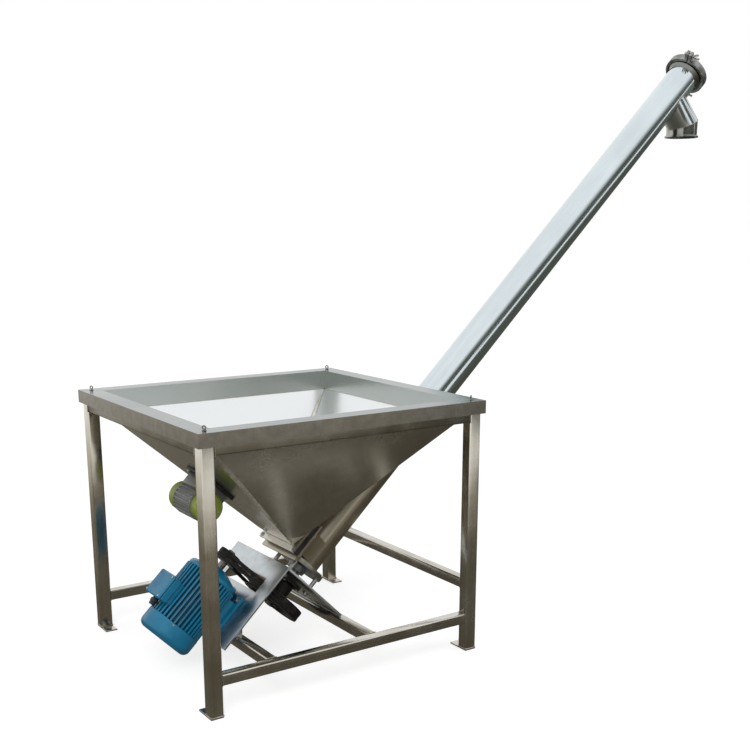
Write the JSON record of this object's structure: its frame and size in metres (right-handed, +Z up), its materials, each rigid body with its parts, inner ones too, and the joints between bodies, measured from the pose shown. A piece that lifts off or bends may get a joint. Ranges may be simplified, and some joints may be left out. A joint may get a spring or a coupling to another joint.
{
  "type": "screw conveyor",
  "caption": "Square feed hopper on a welded stand with an inclined tube screw under it, a belt drive from a finned motor, a vibrator on the hopper wall and a bent discharge spout.",
  "frame": {"origin": "middle of the underside of the front left foot plate", "axes": "+X towards the discharge end, along the stand's length; +Y towards the back of the stand; +Z up"},
  "size_m": [2.3116, 0.897, 1.9356],
  "materials": {
    "frame_steel": "polished stainless square tube",
    "hopper_sheet": "brushed stainless sheet",
    "tube_steel": "polished stainless tube",
    "plate_steel": "mill-finished stainless plate",
    "cast_stainless": "cast and tumbled stainless",
    "shaft_steel": "turned steel",
    "zinc_fastener": "bright fasteners",
    "black_rubber": "matt black rubber",
    "black_iron": "blackened cast iron",
    "motor_paint": "semi-gloss blue enamel",
    "vibrator_paint": "semi-gloss grey enamel",
    "cap_paint": "semi-gloss lime enamel",
    "gland_plastic": "black moulded plastic"
  },
  "bodies": {
    "stand": {"foot_front_left": "frame_steel", "foot_front_right": "frame_steel", "foot_back_right": "frame_steel", "foot_back_left": "frame_steel", "post_front_left": "frame_steel", "post_front_right": "frame_steel", "post_back_right": "frame_steel", "post_back_left": "frame_steel", "top_rail_front": "frame_steel", "top_rail_back": "frame_steel", "top_rail_left": "frame_steel", "top_rail_right": "frame_steel", "low_rail_front": "frame_steel", "low_rail_back": "frame_steel", "side_rail_right": "frame_steel", "cross_member_motor": "frame_steel", "cross_member_tube": "frame_steel", "hopper": "hopper_sheet", "eye_front_left": "cast_stainless", "eye_front_right": "cast_stainless", "eye_back_right": "cast_stainless", "eye_back_left": "cast_stainless", "lower_cover": "cast_stainless", "top_cover": "cast_stainless", "clamp_half_front": "cast_stainless", "clamp_half_back": "cast_stainless", "screw_casing": "tube_steel", "discharge_spout": "tube_steel", "end_plate": "plate_steel", "motor_plate": "plate_steel", "plate_pad": "plate_steel", "outlet_seal": "black_rubber", "drive_belt_upper": "black_rubber", "drive_belt_lower": "black_rubber", "bearing_housing": "black_iron", "vibrator_mount": "black_iron", "spacer_stud_1": "zinc_fastener", "spacer_stud_2": "zinc_fastener", "spacer_stud_3": "zinc_fastener", "spacer_stud_4": "zinc_fastener", "clamp_bolt_upper": "zinc_fastener", "clamp_bolt_lower": "zinc_fastener", "motor_housing": "motor_paint", "motor_end_shield": "motor_paint", "fan_cover": "motor_paint", "terminal_box": "motor_paint", "terminal_lid": "motor_paint", "vibrator_body": "vibrator_paint", "vibrator_cap_front": "cap_paint", "vibrator_cap_back": "cap_paint", "cable_gland": "gland_plastic"},
    "screw": {"screw_core": "shaft_steel", "screw_flight": "shaft_steel", "screw_pulley": "black_iron"},
    "motor_rotor": {"motor_rotor": "shaft_steel", "motor_fan": "gland_plastic", "motor_pulley": "black_iron"},
    "vibrator_rotor": {"vibrator_rotor": "shaft_steel"},
    "wing_nut": {"wing_nut": "cast_stainless"}
  },
  "joints": [
    {"name": "screw_spin", "type": "hinge", "parent": "stand", "child": "screw", "pos_m": [0.39753, 0.3584, 0.1565], "axis": [0.7251, 0, 0.6886], "continuous": true},
    {"name": "motor_spin", "type": "hinge", "parent": "stand", "child": "motor_rotor", "pos_m": [0.24204, 0.3584, 0.32024], "axis": [0.7251, 0, 0.6886], "continuous": true},
    {"name": "vibrator_spin", "type": "hinge", "parent": "stand", "child": "vibrator_rotor", "pos_m": [0.16, 0.4, 0.503], "axis": [0, 1, 0], "continuous": true},
    {"name": "wing_nut_spin", "type": "hinge", "parent": "stand", "child": "wing_nut", "pos_m": [2.14207, 0.30344, 1.91748], "axis": [-0.4048, 0.809, 0.4262], "continuous": true}
  ],
  "couplings": [
    {"joint": "motor_spin", "follows": "screw_spin", "ratio": 2.9429}
  ]
}
